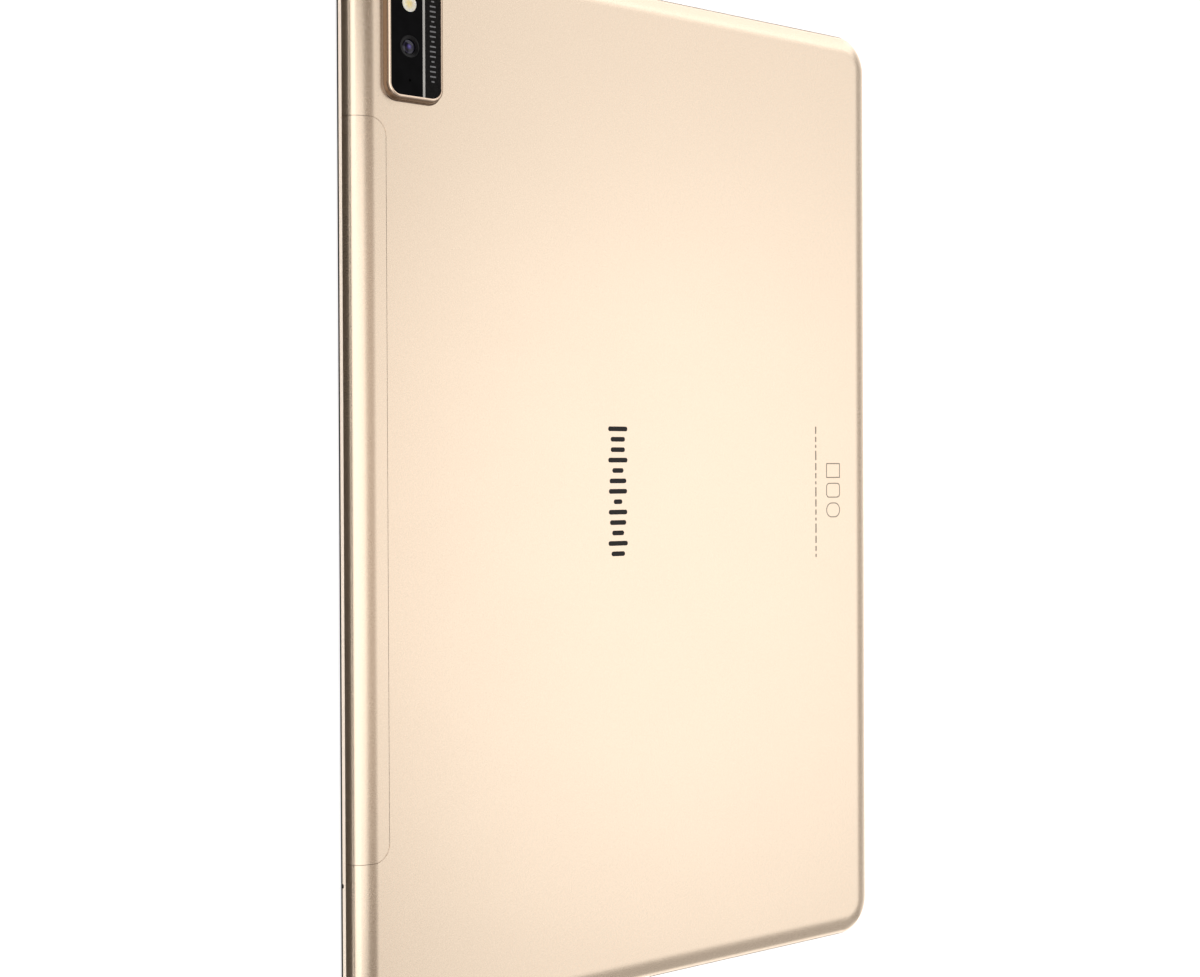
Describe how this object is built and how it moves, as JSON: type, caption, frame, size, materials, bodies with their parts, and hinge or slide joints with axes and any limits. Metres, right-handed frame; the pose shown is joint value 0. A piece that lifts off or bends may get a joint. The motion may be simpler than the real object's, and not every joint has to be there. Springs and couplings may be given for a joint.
{
  "type": "tablet computer",
  "caption": "Slim slate tablet lying on its screen: rounded metal back with a raised camera window, side keys, card tray, USB-C port, audio jack and speaker grilles.",
  "frame": {"origin": "centre of the screen face, which the tablet lies on", "axes": "+X along the long side towards the rear camera, +Y along the short side towards the antenna cover, +Z out of the rear face"},
  "size_m": [0.2445, 0.162, 0.0094],
  "materials": {
    "shell": "satin champagne anodised",
    "antenna_plastic": "satin champagne paint",
    "frame_plastic": "light champagne satin paint",
    "bezel_metal": "polished champagne",
    "cover_glass": "black-printed cover glass",
    "window_glass": "black camera window",
    "silver_trim": "brushed silver line",
    "lens_ring": "black anodised",
    "lens_glass": "coated lens",
    "flash_plastic": "pale yellow diffuser",
    "led_package": "phosphor",
    "display_cell": "display glass",
    "reflector": "white reflector",
    "steel": "stamped",
    "tape": "foam tape",
    "foam": "foam",
    "module_black": "moulded",
    "flex": "polyimide",
    "pouch": "wrapped pouch cell",
    "board": "solder mask",
    "battery_board": "solder mask",
    "chip": "moulded package",
    "graphite": "graphite sheet",
    "wire": "insulated wire",
    "gold": "plated contacts",
    "mesh": "fine black mesh",
    "coax": "coaxial cable"
  },
  "bodies": {
    "housing": {"rear_cover": "shell", "antenna_cover": "antenna_plastic", "front_frame": "frame_plastic", "front_glass": "cover_glass", "glass_tape": "tape", "display_panel": "display_cell", "backlight_unit": "reflector", "support_plate": "steel", "camera_bezel": "bezel_metal", "camera_window": "window_glass", "window_divider": "silver_trim", "rear_lens_ring": "lens_ring", "rear_lens": "lens_glass", "camera_gasket": "foam", "rear_camera_module": "module_black", "rear_camera_flex": "flex", "flash_lens": "flash_plastic", "flash_led": "led_package", "front_camera_module": "module_black", "front_camera_flex": "flex", "button_flex": "flex", "button_bracket": "steel", "card_socket": "steel", "card_contacts": "gold", "card_ejector": "steel", "battery_cells": "pouch", "battery_tape": "tape", "battery_board": "battery_board", "battery_cable": "wire", "main_board": "board", "board_chips": "chip", "shield_cans": "steel", "thermal_sheet": "graphite", "board_flex": "flex", "display_flex": "flex", "touch_flex": "flex", "usb_board": "board", "usb_port": "steel", "usb_tongue": "module_black", "headphone_jack": "module_black", "speaker_top": "module_black", "speaker_bottom": "module_black", "speaker_meshes": "mesh", "speaker_wires": "wire", "microphones": "steel", "antenna_flexes": "flex", "coax_cables": "coax", "board_screws": "steel"},
    "power_key": {"power_button": "bezel_metal"},
    "volume_key": {"volume_rocker": "bezel_metal"},
    "tray": {"card_tray": "bezel_metal"}
  },
  "joints": [
    {"name": "power_press", "type": "slide", "parent": "housing", "child": "power_key", "axis": [-1, 0, 0], "range_m": [0, 0.0003], "stiffness_N_per_m": 5000},
    {"name": "volume_tilt", "type": "hinge", "parent": "housing", "child": "volume_key", "pos_m": [0.1198, 0.035, 0.0041], "axis": [0, 0, 1], "range_deg": [-1.5, 1.5], "stiffness_Nm_per_rad": 0.4},
    {"name": "tray_slide", "type": "slide", "parent": "housing", "child": "tray", "axis": [1, 0, 0], "range_m": [0, 0.032]}
  ]
}
